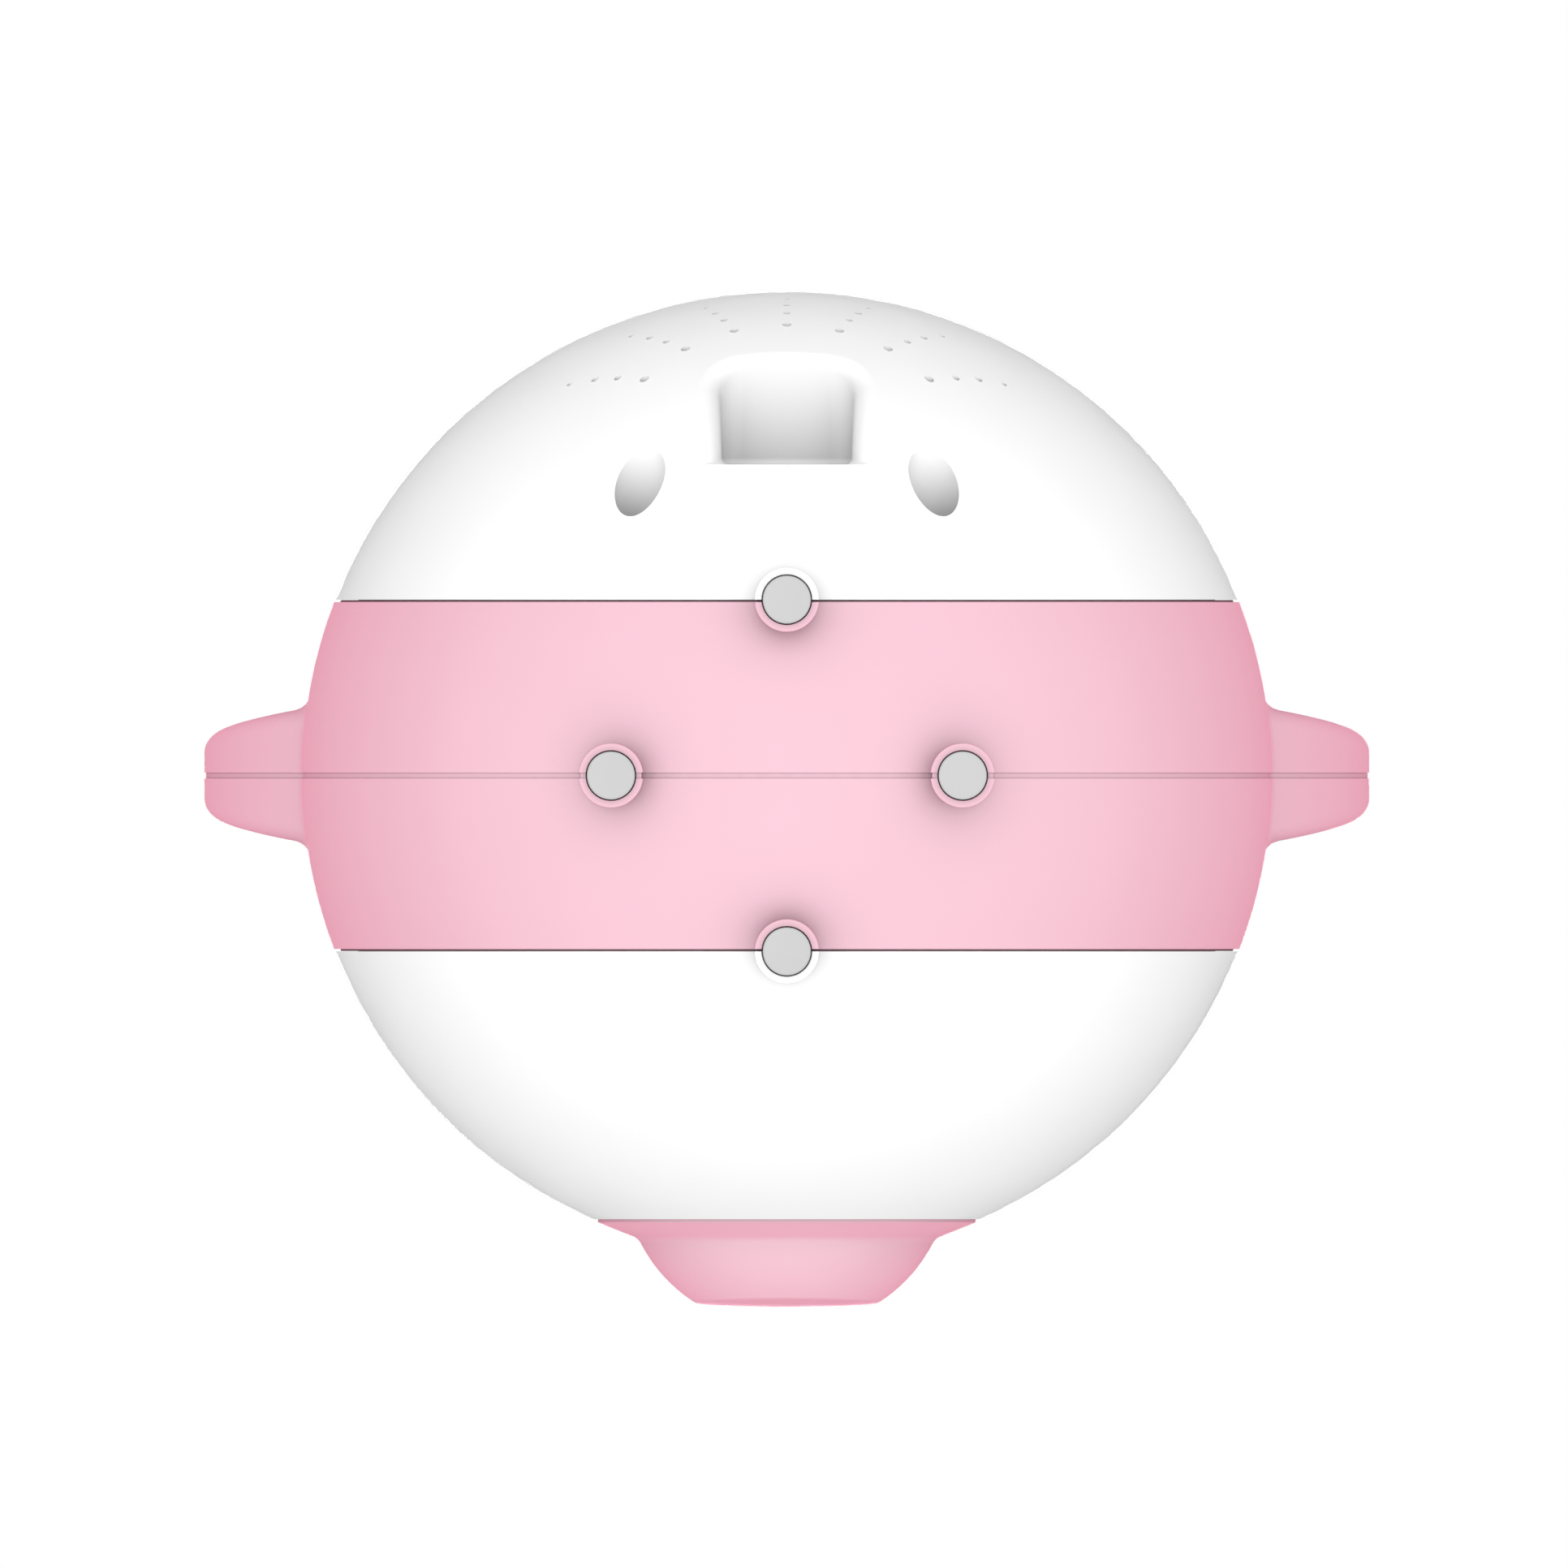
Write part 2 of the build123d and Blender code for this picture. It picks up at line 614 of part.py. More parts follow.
def battery_strap():
    inner = CELL_R + SLIP_GAP
    outer = inner + STRAP_T
    bow = rod_x(outer, CELL_Y, CELL_Z, -STRAP_HALF, STRAP_HALF) & slab(-60, CELL_Y)
    bow += block(-STRAP_HALF, STRAP_HALF, CELL_Y, STRAP_SEAT, CELL_Z - outer, CELL_Z + outer)
    bow += block(-STRAP_HALF, STRAP_HALF, STRAP_SEAT - STRAP_T, STRAP_SEAT,
                 CELL_Z - STRAP_REACH, CELL_Z + STRAP_REACH)
    bow -= rod_x(inner, CELL_Y, CELL_Z, -20, 20)
    bow -= block(-20, 20, CELL_Y, 0, CELL_Z - inner, CELL_Z + inner)
    for z in (CELL_Z - STRAP_SCREW_Z, CELL_Z + STRAP_SCREW_Z):
        bow -= rod_y(M2_R + PASS_GAP, 0, z, -15, 0)
    return bow


def battery_cell():
    cell = rod_x(CELL_R, CELL_Y, CELL_Z, -CELL_L / 2, CELL_L / 2)
    return fillet(cell.edges().filter_by(GeomType.CIRCLE), 0.6)


# ---- Main board ----

def main_board():
    board = block(-BOARD_W / 2, BOARD_W / 2, BOARD_Y, BOARD_Y + BOARD_T,
                  BOARD_Z - BOARD_H / 2, BOARD_Z + BOARD_H / 2)
    board = fillet(board.edges().filter_by(Axis.Y), 3)
    for x, z in corners(BOARD_HOLE_X, BOARD_HOLE_Z):
        board -= rod_y(M2_R + PASS_GAP, x, z + BOARD_Z, 0, 20)
    return board


def on_board(x, z, width, height, thick):
    y = BOARD_Y + BOARD_T
    return block(x - width / 2, x + width / 2, y, y + thick, z - height / 2, z + height / 2)


def processor_shield():
    can = on_board(0, 14, 24, 20, 2.8)
    can = fillet(can.faces().sort_by(Axis.Y)[-1].edges(), 0.5)
    return can - on_board(0, 14, 23, 19, 2.4)


def board_chips():
    chips = [on_board(-25, 14, 8, 8, 1.2), on_board(24, 20, 10, 6, 1.2), on_board(24, 6, 5, 5, 1.0)]
    chips += [on_board(-27 + 5 * n, 0, 2, 3.2, 1.1) for n in range(4)]
    return chips


def board_connectors():
    sockets = []
    for x, width in ((-24, 10), (-6, 7), (9, 7), (25, 12)):
        housing = on_board(x, -14, width, 6, 5)
        sockets.append(housing - block(x - width / 2 + 0.8, x + width / 2 - 0.8, 12, 15.2, -18, -13))
    return sockets


# ---- Speaker ----

def speaker_frame():
    front = SPEAKER_FRONT
    rim = rod_y(SPEAKER_R, 0, SPEAKER_Z, front - SPEAKER_RIM, front)
    basket = Pos(0, front - 6, SPEAKER_Z) * Rot(-90, 0, 0) * Cone(11.5, 16.5, 10)
    basket &= slab(front - 10.5, front)
    hollow = Pos(0, front - 5, SPEAKER_Z) * Rot(-90, 0, 0) * Cone(10.5, 15.5, 10)
    frame = rim + basket - hollow
    for angle in range(0, 360, 60):
        window = Pos(0, front - 6, SPEAKER_Z) * Rot(0, angle, 0) * Pos(14, 0, 0) * Box(12, 5, 6)
        frame -= window
    return frame


def speaker_magnet():
    y = SPEAKER_FRONT - 11
    magnet = rod_y(11, 0, SPEAKER_Z, y - 5, y)
    pole = rod_y(8.5, 0, SPEAKER_Z, y - 6.5, y - 5)
    return magnet + pole


def speaker_cone():
    # Roll surround, paper cone and dust cap in one thin moving diaphragm, revolved about Y.
    front = SPEAKER_FRONT
    roll_x = 12.4
    roll_y = front - 2.7
    cone = Polygon((5.0, front - 7.5), (11.3, roll_y), (11.3, roll_y + 0.6), (5.0, front - 6.9), align=None)
    roll = Pos(roll_x, roll_y) * (Circle(1.5) - Circle(1.0)) & Pos(roll_x, roll_y + 2) * Rectangle(4, 4)
    dome = Pos(0, front - 14.2) * (Circle(9.0) - Circle(8.4)) & Pos(3, front - 6) * Rectangle(6, 6)
    return Pos(0, 0, SPEAKER_Z) * revolve(cone + roll + dome, Axis.Y, 360)


def speaker_gasket():
    ring = rod_y(SPEAKER_R, 0, SPEAKER_Z, SPEAKER_FRONT, SPEAKER_FRONT + GASKET)
    return ring - rod_y(SPEAKER_R - SPEAKER_RING, 0, SPEAKER_Z, SPEAKER_FRONT - 1, SPEAKER_FRONT + 2)


# ---- Charging port and power switch ----

def port_shape(grow, y0, y1):
    z = PORT_BOARD_TOP + PORT_H / 2
    height = PORT_H + 2 * grow
    profile = RectangleRounded(PORT_W + 2 * grow, height, height / 2 - 0.3)
    plane = Plane(origin=(0, y0, z), x_dir=(-1, 0, 0), z_dir=(0, 1, 0))
    return extrude(plane * profile, amount=y1 - y0)


def port_hole():
    return port_shape(0.2, 34, 50)


def charging_port():
    return port_shape(0, 31, PORT_FRONT) - port_shape(-PORT_WALL, 31.6, 60)


def port_tongue():
    z = PORT_BOARD_TOP + PORT_H / 2
    return block(-3.3, 3.3, 31.6, PORT_FRONT - 0.6, z - 0.35, z + 0.35)


def port_board():
    board = block(-PORT_BOARD_HALF, PORT_BOARD_HALF, PORT_BOARD_Y0, PORT_BOARD_Y1,
                  PORT_BOARD_TOP - PORT_BOARD_T, PORT_BOARD_TOP)
    for x in (PORT_POST_X, -PORT_POST_X):
        board -= rod_z(M2_R + PASS_GAP, x, PORT_POST_Y, -50, -30)
    return board


def power_switch_body():
    top = PORT_BOARD_TOP - PORT_BOARD_T
    front = RECESS_BACK - RECESS_WALL - 0.1
    body = block(-4.25, 4.25, front - 4.4, front, top - 3.4, top)
    return body - block(-2.7, 2.7, front - 2.2, 40, SWITCH_Z - 1.1, SWITCH_Z + 1.1)


def power_switch_knob():
    x = -SWITCH_TRAVEL / 2
    front = RECESS_BACK - KNOB_SINK
    x0, x1 = x - KNOB_HALF, x + KNOB_HALF
    knob = block(x0, x1, front - 3.7, front, SWITCH_Z - 0.75, SWITCH_Z + 0.75)
    knob += block(x0, x1, front - 1.5, front, SWITCH_Z - 0.95, SWITCH_Z + 0.95)
    for step in (-0.7, 0, 0.7):
        knob -= block(x + step - 0.15, x + step + 0.15, front - 0.3, front + 1, SWITCH_Z - 2, SWITCH_Z + 2)
    return knob


# ---- Crown button ----

def crown_button():
    cap = rod_z(BUTTON_R, 0, 0, FLANGE_TOP - 1.2, 65) & ball(BUTTON_TOP_R)
    cap = fillet(cap.edges().sort_by(Axis.Z)[-1], 0.5)
    cap += rod_z(FLANGE_R, 0, 0, FLANGE_TOP - 1.2, FLANGE_TOP)
    return cap + rod_z(2, 0, 0, 50.4, FLANGE_TOP)


def crown_switch():
    body = block(-3, 3, -3, 3, CROWN_BOARD_TOP, CROWN_BOARD_TOP + 3.7)
    return body - rod_z(2.0, 0, 0, CROWN_BOARD_TOP + 1.2, 60)


def crown_switch_plunger():
    return rod_z(1.6, 0, 0, CROWN_BOARD_TOP + 2.6, 50.4)


def crown_board():
    board = block(-12.5, 12.5, -6, 6, CROWN_BOARD_TOP - CROWN_BOARD_T, CROWN_BOARD_TOP)
    for x in (CROWN_SCREW_X, -CROWN_SCREW_X):
        board -= rod_z(M2_R + PASS_GAP, x, 0, 40, 50)
    return board


# ---- Eye lights ----

def eye_board():
    board = block(-26, 26, EYE_BOARD_Y, EYE_BOARD_Y + EYE_BOARD_T, EYE_BOARD_Z - 8, EYE_BOARD_Z + 8)
    for x in (EYE_POST_X, -EYE_POST_X):
        board -= rod_y(M2_R + PASS_GAP, x, EYE_BOARD_Z, -40, -30)
    return board


def eye_led(side):
    x = side * 18.0
    z = EYE_BOARD_Z + 2
    front = EYE_BOARD_Y - LED_T
    base = block(x - LED_HALF, x + LED_HALF, front, EYE_BOARD_Y, z - LED_HALF, z + LED_HALF)
    dome = Pos(x, front, z) * Sphere(1.8) & slab(EYE_BOARD_Y - 5, front + 0.4)
    return base + dome


def write(name, shape):
    parts = shape if isinstance(shape, list) else [shape]
    moved = [Pos(0, BALL_Y, BALL_Z) * part for part in parts]
    whole = moved[0] if len(moved) == 1 else Compound(children=moved)
    export_step(whole, os.path.join("parts", name + ".step"))


def main():
    os.makedirs("parts", exist_ok=True)
    rear, front = bands()
    write("rear_band", rear)
    write("front_band", front)
    write("rear_cap", rear_cap())
    write("front_cap", front_cap())
    write("nose", nose())
    write("eye_lens_left", eye_lens(1))
    write("eye_lens_right", eye_lens(-1))
    for name, (x, y) in zip(("front", "rear", "left", "right"), foot_places()):
        write("foot_pad_" + name, foot_pad(x, y))
    m3 = (M3_R, M3_HEAD_R, M3_HEAD)
    m2 = (M2_R, M2_HEAD_R, M2_HEAD)
    write("case_screws", screws_y(corners(SCREW_X, SCREW_Z), ACCESS_SEAT, 16, *m3, -1))
    write("chassis_screws", screws_y(corners(FRONT_SCREW_X, FRONT_SCREW_Z), PLATE_BACK, 12, *m3, -1))
    write("nose_screws", screws_y(nose_screw_places(), FACE_FLAT + FACE_WALL, 7.5, *m2, -1))
    write("chassis", chassis())
    write("battery_cradle", battery_cradle())
    write("battery_cell", battery_cell())
    write("battery_strap", battery_strap())
    places = [(CRADLE_SCREW_X, CELL_Z), (-CRADLE_SCREW_X, CELL_Z)]
    write("cradle_screws", screws_y(places, PLATE_BACK, 7, *m2, -1))
    places = [(0, CELL_Z + STRAP_SCREW_Z), (0, CELL_Z - STRAP_SCREW_Z)]
    write("strap_screws", screws_y(places, STRAP_SEAT - STRAP_T, 7, *m2, 1))
    write("main_board", main_board())
    places = [(x, z + BOARD_Z) for x, z in corners(BOARD_HOLE_X, BOARD_HOLE_Z)]
    write("main_board_screws", screws_y(places, BOARD_Y + BOARD_T, 6, *m2, -1))
    write("processor_shield", processor_shield())
    write("board_chips", board_chips())
    write("board_connectors", board_connectors())
    write("speaker_frame", speaker_frame())
    write("speaker_magnet", speaker_magnet())
    write("speaker_cone", speaker_cone())
    write("speaker_gasket", speaker_gasket())
    back = SPEAKER_FRONT - SPEAKER_RIM
    write("speaker_screws", screws_y(speaker_fixings(), back, 4.5, M2_R, 4.0, 1.0, 1))
    write("charging_port", charging_port())
    write("charging_port_tongue", port_tongue())
    write("port_board", port_board())
    pair = (PORT_POST_X, -PORT_POST_X)
    write("port_board_screws", [screw_z(x, PORT_POST_Y, PORT_BOARD_TOP, 6) for x in pair])
    write("power_switch_body", power_switch_body())
    write("power_switch_knob", power_switch_knob())
    write("crown_button", crown_button())
    write("crown_switch", crown_switch())
    write("crown_switch_plunger", crown_switch_plunger())
    write("crown_board", crown_board())
    pair = (CROWN_SCREW_X, -CROWN_SCREW_X)
    write("crown_board_screws", [screw_z(x, 0, CROWN_BOARD_TOP, 5) for x in pair])
    write("eye_board", eye_board())
    write("eye_leds", [eye_led(1), eye_led(-1)])
    places = [(EYE_POST_X, EYE_BOARD_Z), (-EYE_POST_X, EYE_BOARD_Z)]
    write("eye_board_screws", screws_y(places, EYE_BOARD_Y + EYE_BOARD_T, 7, *m2, -1))


main()
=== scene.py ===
import json
import math

import bpy
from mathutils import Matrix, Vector


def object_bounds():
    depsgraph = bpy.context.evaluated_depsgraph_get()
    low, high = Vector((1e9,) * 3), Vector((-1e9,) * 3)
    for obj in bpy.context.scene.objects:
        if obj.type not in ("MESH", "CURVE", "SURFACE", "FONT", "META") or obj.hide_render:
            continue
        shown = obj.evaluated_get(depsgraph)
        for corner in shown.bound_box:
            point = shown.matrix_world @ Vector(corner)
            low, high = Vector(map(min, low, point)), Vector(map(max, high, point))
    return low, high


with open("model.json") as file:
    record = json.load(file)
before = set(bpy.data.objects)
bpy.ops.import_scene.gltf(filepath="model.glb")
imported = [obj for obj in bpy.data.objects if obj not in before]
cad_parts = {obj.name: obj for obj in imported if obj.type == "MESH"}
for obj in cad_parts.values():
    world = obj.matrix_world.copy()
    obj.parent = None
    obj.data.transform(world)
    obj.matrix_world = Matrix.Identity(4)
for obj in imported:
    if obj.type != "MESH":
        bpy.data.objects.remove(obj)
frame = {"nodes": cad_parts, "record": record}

MM = 0.001
CAD_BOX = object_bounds()

# The camera looks straight up at the underside, with the charging recess at the top of the picture.
PICTURE_WIDTH = 194.36 * MM
AIM_RIGHT_OF_MIDDLE = 0.35 * MM
AIM_BEHIND_MIDDLE = 1.87 * MM
CAMERA_DROP = 0.5

# Floor: half its width, its colour, and how strongly it shines by itself.
FLOOR_HALF = 3.0
FLOOR_PALE = (0.55, 0.55, 0.55, 1)
FLOOR_LIFT = 0.2

# Light: a bright dome below the horizon, a weak one above it, and one lamp overhead.
DOME_BELOW = 1.45
DOME_ABOVE = 0.32
HORIZON_BLEND = 0.03
DIFFUSE_BOUNCES = 0
OVERHEAD_RISE = 2.0
OVERHEAD_SIZE = 0.4
OVERHEAD_WATTS = 32.0

# Moulded plastic: the sizes of its flow mottle and gloss patches, and how uneven the gloss is.
FLOW_SIZE = 18 * MM
GLOSS_PATCH = 6 * MM
GLOSS_SPREAD = 0.04
COAT_ROUGHNESS = 0.25

# Metal: the width and depth of its drawn or turned marks, the factors by which they darken and
# lighten the colour, and how far the roughness strays below and above its mean.
MARK_SIZE = 0.15 * MM
MARK_DEPTH = 0.003 * MM
MARK_DARKEST = 0.88
MARK_LIGHTEST = 1.05
POLISH_BELOW = 0.07
POLISH_ABOVE = 0.1

# Circuit board: its tracks (half the width is a share of the spacing), the greens of solder mask
# over copper and over bare board, and the range of its roughness.
TRACK_SPACING = 3 * MM
TRACK_HALF_WIDTH = 0.12
TRACK_HEIGHT = 0.03 * MM
TRACK_GREEN = (0.05, 0.32, 0.14, 1)
MASK_GREEN = (0.015, 0.15, 0.06, 1)
MASK_SMOOTHEST = 0.25
MASK_ROUGHEST = 0.4
MASK_PATCH = 2 * MM

# Foam: its pores, the grey painted into them as shade, and the grey between them.
PORE_SIZE = 0.5 * MM
PORE_DEPTH = 0.15 * MM
FOAM_PIT_SHADE = (0.02, 0.02, 0.02)
FOAM_LIGHT = (0.07, 0.07, 0.07)


# ---- Node helpers ----

def new_material(slot):
    mat = bpy.data.materials.new(slot)
    mat.use_nodes = True
    nodes = mat.node_tree.nodes
    nodes.clear()
    out = nodes.new("ShaderNodeOutputMaterial")
    shader = nodes.new("ShaderNodeBsdfPrincipled")
    mat.node_tree.links.new(shader.outputs["BSDF"], out.inputs["Surface"])
    return mat, shader


def link(mat, source, target):
    mat.node_tree.links.new(source, target)


def place(mat, stretch=(1, 1, 1)):
    # Object coordinates in metres, so that every grain size below is a real size.
    coords = mat.node_tree.nodes.new("ShaderNodeTexCoord")
    mapping = mat.node_tree.nodes.new("ShaderNodeMapping")
    mapping.inputs["Scale"].default_value = stretch
    link(mat, coords.outputs["Object"], mapping.inputs["Vector"])
    return mapping.outputs["Vector"]


def noise(mat, size, detail=3.0, stretch=(1, 1, 1)):
    node = mat.node_tree.nodes.new("ShaderNodeTexNoise")
    node.inputs["Scale"].default_value = 1 / size
    node.inputs["Detail"].default_value = detail
    link(mat, place(mat, stretch), node.inputs["Vector"])
    return node.outputs["Fac"]


def cells(mat, size, feature="F1"):
    node = mat.node_tree.nodes.new("ShaderNodeTexVoronoi")
    node.feature = feature
    node.inputs["Scale"].default_value = 1 / size
    link(mat, place(mat), node.inputs["Vector"])
    return node.outputs["Distance"]


def between(mat, fac, low, high):
    # Maps a texture value of 0.3 to 0.7 onto low to high.
    node = mat.node_tree.nodes.new("ShaderNodeMapRange")
    node.inputs["From Min"].default_value = 0.3
    node.inputs["From Max"].default_value = 0.7
    node.inputs["To Min"].default_value = low
    node.inputs["To Max"].default_value = high
    link(mat, fac, node.inputs["Value"])
    return node.outputs["Result"]


def tint(mat, fac, first, second):
    node = mat.node_tree.nodes.new("ShaderNodeMix")
    node.data_type = "RGBA"
    node.inputs["A"].default_value = (*first, 1)
    node.inputs["B"].default_value = (*second, 1)
    link(mat, between(mat, fac, 0.0, 1.0), node.inputs["Factor"])
    return node.outputs["Result"]


def bump(mat, shader, height, depth):
    node = mat.node_tree.nodes.new("ShaderNodeBump")
    node.inputs["Distance"].default_value = depth
    link(mat, height, node.inputs["Height"])
    link(mat, node.outputs["Normal"], shader.inputs["Normal"])


def shade(colour, factor):
    return tuple(min(1.0, c * factor) for c in colour)


# ---- Materials ----

def moulded(slot, colour, rough, variation, grain=0.25 * MM, depth=0.004 * MM, coat=0.0):
    # Injection-moulded plastic: a faint flow mottle, a fine spark-eroded grain and uneven gloss.
    mat, shader = new_material(slot)
    flow = noise(mat, FLOW_SIZE, 4.0)
    low = shade(colour, 1 - variation)
    high = shade(colour, 1 + variation)
    link(mat, tint(mat, flow, low, high), shader.inputs["Base Color"])
    patches = noise(mat, GLOSS_PATCH, 5.0)
    gloss = between(mat, patches, rough - GLOSS_SPREAD, rough + GLOSS_SPREAD)
    link(mat, gloss, shader.inputs["Roughness"])
    bump(mat, shader, noise(mat, grain, 2.0), depth)
    shader.inputs["Coat Weight"].default_value = coat
    shader.inputs["Coat Roughness"].default_value = COAT_ROUGHNESS
    return mat, shader


def shell_white(slot):
    mat, shader = moulded(slot, (0.84, 0.84, 0.84), 0.38, 0.006)
    shader.inputs["Specular IOR Level"].default_value = 0.4
    return mat


def shell_pink(slot):
    # A reddish sheen stands in for the photo's even colour towards the rim.
    mat, shader = moulded(slot, (0.625, 0.445, 0.505), 0.42, 0.01)
    shader.inputs["Sheen Weight"].default_value = 0.95
    shader.inputs["Sheen Roughness"].default_value = 0.8
    shader.inputs["Sheen Tint"].default_value = (1.0, 0.35, 0.5, 1)
    return mat


def foot_rubber(slot):
    mat, shader = moulded(slot, (0.46, 0.46, 0.46), 0.75, 0.03, 0.12 * MM, 0.02 * MM)
    shader.inputs["Specular IOR Level"].default_value = 0.25
    return mat


def metal(slot, colour, rough, streak):
    # Turned or drawn metal: long fine marks along one direction, and a slightly uneven polish.
    mat, shader = new_material(slot)
    marks = noise(mat, MARK_SIZE, 2.0, streak)
    uneven = tint(mat, marks, shade(colour, MARK_DARKEST), shade(colour, MARK_LIGHTEST))
    link(mat, uneven, shader.inputs["Base Color"])
    polish = between(mat, marks, rough - POLISH_BELOW, rough + POLISH_ABOVE)
    link(mat, polish, shader.inputs["Roughness"])
    shader.inputs["Metallic"].default_value = 1.0
    bump(mat, shader, marks, MARK_DEPTH)
    return mat


def board_green(slot):
    # Solder mask over copper: raised tracks show as lighter cell borders.
    mat, shader = new_material(slot)
    tracks = cells(mat, TRACK_SPACING, "DISTANCE_TO_EDGE")
    ramp = mat.node_tree.nodes.new("ShaderNodeMapRange")
    ramp.inputs["From Max"].default_value = TRACK_HALF_WIDTH
    link(mat, tracks, ramp.inputs["Value"])
    mix = mat.node_tree.nodes.new("ShaderNodeMix")
    mix.data_type = "RGBA"
    mix.inputs["A"].default_value = TRACK_GREEN
    mix.inputs["B"].default_value = MASK_GREEN
    link(mat, ramp.outputs["Result"], mix.inputs["Factor"])
    link(mat, mix.outputs["Result"], shader.inputs["Base Color"])
    gloss = between(mat, noise(mat, MASK_PATCH), MASK_SMOOTHEST, MASK_ROUGHEST)
    link(mat, gloss, shader.inputs["Roughness"])
    bump(mat, shader, ramp.outputs["Result"], -TRACK_HEIGHT)
    return mat


def battery_wrap(slot):
    # Shrink sleeve: wrinkles a few millimetres apart under a light gloss.
    return moulded(slot, (0.05, 0.17, 0.50), 0.3, 0.08, 4 * MM, 0.15 * MM, 0.4)[0]


def speaker_paper(slot):
    # Pressed paper pulp: matt, with a coarse fibrous surface.
    return moulded(slot, (0.035, 0.035, 0.035), 0.85, 0.3, 0.4 * MM, 0.06 * MM)[0]


def gasket_foam(slot):
    # Open-cell foam: dead matt, with a pit for each pore, and painted shade darkening each pit.
    mat, shader = new_material(slot)
    pores = cells(mat, PORE_SIZE)
    link(mat, tint(mat, pores, FOAM_PIT_SHADE, FOAM_LIGHT), shader.inputs["Base Color"])
    shader.inputs["Roughness"].default_value = 0.95
    bump(mat, shader, pores, PORE_DEPTH)
    return mat


def eye_smoke(slot):
    mat, shader = moulded(slot, (0.012, 0.012, 0.014), 0.12, 0.2, 3 * MM, 0.002 * MM, 1.0)
    shader.inputs["Coat Roughness"].default_value = 0.04
    return mat


def led_clear(slot):
    mat, shader = moulded(slot, (0.85, 0.85, 0.78), 0.15, 0.02, 1 * MM, 0.01 * MM, 0.8)
    shader.inputs["Transmission Weight"].default_value = 0.3
    return mat


SPECIAL = {
    "shell_white": shell_white,
    "button_white": shell_white,
    "shell_pink": shell_pink,
    "foot_rubber": foot_rubber,
    "eye_smoke": eye_smoke,
    "led_clear": led_clear,
    "board_green": board_green,
    "battery_wrap": battery_wrap,
    "speaker_paper": speaker_paper,
    "gasket_foam": gasket_foam,
}

# Colour, roughness, and the scale of the marks' pattern on each axis: a small one draws them out.
METALS = {
    "screw_steel": ((0.60, 0.60, 0.61), 0.32, (1, 0.05, 1)),
    "port_steel": ((0.72, 0.72, 0.73), 0.22, (1, 0.08, 1)),
    "shield_tin": ((0.75, 0.75, 0.74), 0.3, (0.06, 1, 1)),
}

# Colour, roughness, variation of the colour, grain size and grain depth.
PLAIN = {
    "speaker_steel": ((0.05, 0.05, 0.055), 0.45, 0.15, 0.3 * MM, 0.02 * MM),
    "frame_grey": ((0.12, 0.125, 0.135), 0.55, 0.05, 0.3 * MM, 0.015 * MM),
    "chip_black": ((0.018, 0.018, 0.018), 0.6, 0.2, 0.1 * MM, 0.01 * MM),
    "knob_black": ((0.03, 0.03, 0.03), 0.5, 0.15, 0.1 * MM, 0.012 * MM),
    "socket_white": ((0.78, 0.77, 0.72), 0.5, 0.03, 0.3 * MM, 0.01 * MM),
}


def make_materials():
    made = {slot: build(slot) for slot, build in SPECIAL.items()}
    for slot, recipe in METALS.items():
        made[slot] = metal(slot, *recipe)
    for slot, recipe in PLAIN.items():
        made[slot] = moulded(slot, *recipe)[0]
    return made


def dress_nodes():
    # Each CAD node keeps its mesh and takes the material of its slot in the record.
    made = make_materials()
    for row in frame["record"]["subparts"]:
        mesh = frame["nodes"][row["node"]].data
        mesh.materials.clear()
        mesh.materials.append(made[row["material_slot"]])


# ---- Stage, light and camera ----

def one_sided_floor():
    # Pale and matt to a camera above it; clear to one below it, which looks up at the underside.
    # A little light of its own keeps the shadow under the robot from going black.
    mat = bpy.data.materials.new("floor_pale")
    mat.use_nodes = True
    nodes = mat.node_tree.nodes
    nodes.clear()
    out = nodes.new("ShaderNodeOutputMaterial")
    matt = nodes.new("ShaderNodeBsdfDiffuse")
    clear = nodes.new("ShaderNodeBsdfTransparent")
    mix = nodes.new("ShaderNodeMixShader")
    path = nodes.new("ShaderNodeLightPath")
    side = nodes.new("ShaderNodeNewGeometry")
    above = nodes.new("ShaderNodeMath")
    above.operation = "SUBTRACT"
    above.use_clamp = True
    matt.inputs["Color"].default_value = FLOOR_PALE
    lift = nodes.new("ShaderNodeEmission")
    lift.inputs["Strength"].default_value = FLOOR_LIFT
    lifted = nodes.new("ShaderNodeAddShader")
    link(mat, matt.outputs["BSDF"], lifted.inputs[0])
    link(mat, lift.outputs["Emission"], lifted.inputs[1])
    link(mat, path.outputs["Is Camera Ray"], above.inputs[0])
    link(mat, side.outputs["Backfacing"], above.inputs[1])
    link(mat, above.outputs["Value"], mix.inputs["Fac"])
    link(mat, clear.outputs["BSDF"], mix.inputs[1])
    link(mat, lifted.outputs["Shader"], mix.inputs[2])
    link(mat, mix.outputs["Shader"], out.inputs["Surface"])
    return mat


def make_floor():
    mesh = bpy.data.meshes.new("floor")
    h = FLOOR_HALF
    mesh.from_pydata([(-h, -h, 0), (h, -h, 0), (h, h, 0), (-h, h, 0)], [], [(0, 1, 2, 3)])
    mesh.materials.append(one_sided_floor())
    floor = bpy.data.objects.new("floor", mesh)
    # The dome below the floor lights the underside, so the floor mustn't shade it.
    floor.visible_shadow = False
    bpy.context.scene.collection.objects.link(floor)


def map_range(tree, source, start, end, low, high):
    node = tree.nodes.new("ShaderNodeMapRange")
    node.inputs["From Min"].default_value = start
    node.inputs["From Max"].default_value = end
    node.inputs["To Min"].default_value = low
    node.inputs["To Max"].default_value = high
    tree.links.new(source, node.inputs["Value"])
    return node.outputs["Result"]


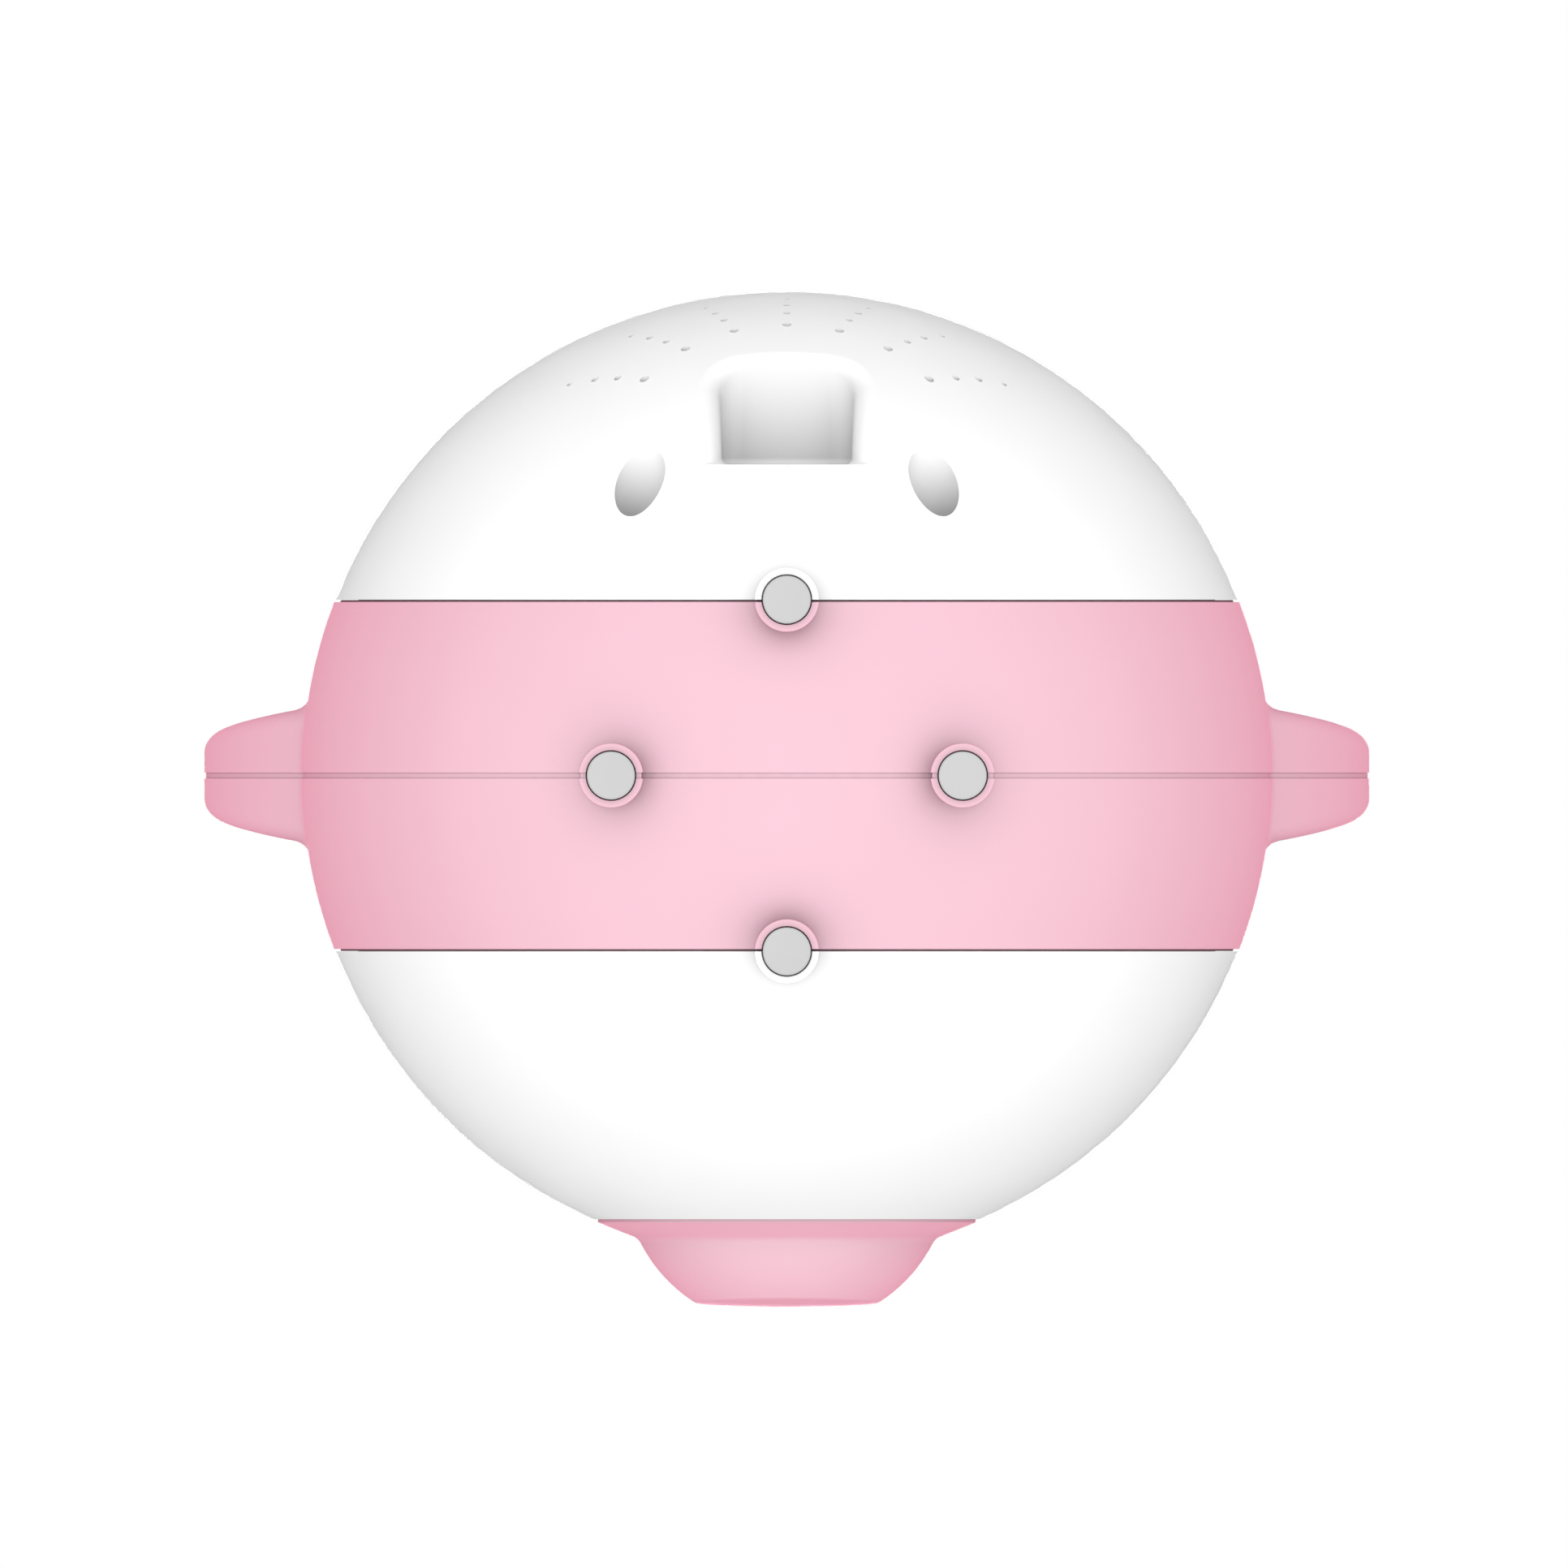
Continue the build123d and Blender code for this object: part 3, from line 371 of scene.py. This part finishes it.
def make_world():
    # A soft dome: full strength below the horizon, weak above it, and plain white to the camera.
    world = bpy.data.worlds.new("studio")
    world.use_nodes = True
    tree = world.node_tree
    tree.nodes.clear()
    out = tree.nodes.new("ShaderNodeOutputWorld")
    seen = tree.nodes.new("ShaderNodeBackground")
    light = tree.nodes.new("ShaderNodeBackground")
    mix = tree.nodes.new("ShaderNodeMixShader")
    path = tree.nodes.new("ShaderNodeLightPath")
    coords = tree.nodes.new("ShaderNodeTexCoord")
    axes = tree.nodes.new("ShaderNodeSeparateXYZ")
    total = tree.nodes.new("ShaderNodeMath")
    total.operation = "ADD"
    tree.links.new(coords.outputs["Generated"], axes.inputs["Vector"])
    blend = HORIZON_BLEND
    below = map_range(tree, axes.outputs["Z"], -blend, blend, DOME_BELOW, 0.0)
    above = map_range(tree, axes.outputs["Z"], -blend, blend, 0.0, DOME_ABOVE)
    tree.links.new(below, total.inputs[0])
    tree.links.new(above, total.inputs[1])
    tree.links.new(total.outputs["Value"], light.inputs["Strength"])
    for background in (seen, light):
        background.inputs["Color"].default_value = (1, 1, 1, 1)
    tree.links.new(path.outputs["Is Camera Ray"], mix.inputs["Fac"])
    tree.links.new(light.outputs["Background"], mix.inputs[1])
    tree.links.new(seen.outputs["Background"], mix.inputs[2])
    tree.links.new(mix.outputs["Shader"], out.inputs["Surface"])
    bpy.context.scene.world = world
    # The photo shows almost no light thrown from one surface onto another.
    bpy.context.scene.cycles.diffuse_bounces = DIFFUSE_BOUNCES


def area_light(name, place_at, target, size, watts):
    lamp = bpy.data.lights.new(name, "AREA")
    lamp.shape = "DISK"
    lamp.size = size
    lamp.energy = watts
    obj = bpy.data.objects.new(name, lamp)
    obj.location = place_at
    obj.rotation_euler = (target - place_at).to_track_quat("-Z", "Y").to_euler()
    bpy.context.scene.collection.objects.link(obj)


def make_lights():
    low, high = CAD_BOX
    centre = (low + high) / 2
    above = centre + Vector((0, 0, OVERHEAD_RISE))
    area_light("overhead", above, centre, OVERHEAD_SIZE, OVERHEAD_WATTS)


def make_camera():
    low, high = CAD_BOX
    centre = (low + high) / 2
    data = bpy.data.cameras.new("camera")
    data.type = "ORTHO"
    data.ortho_scale = PICTURE_WIDTH
    camera = bpy.data.objects.new("camera", data)
    camera.location = (centre.x + AIM_RIGHT_OF_MIDDLE, centre.y + AIM_BEHIND_MIDDLE, -CAMERA_DROP)
    camera.rotation_euler = (0, math.pi, 0)
    bpy.context.scene.collection.objects.link(camera)
    bpy.context.scene.camera = camera


dress_nodes()
make_floor()
make_world()
make_lights()
make_camera()
bpy.context.scene.view_settings.view_transform = "Standard"
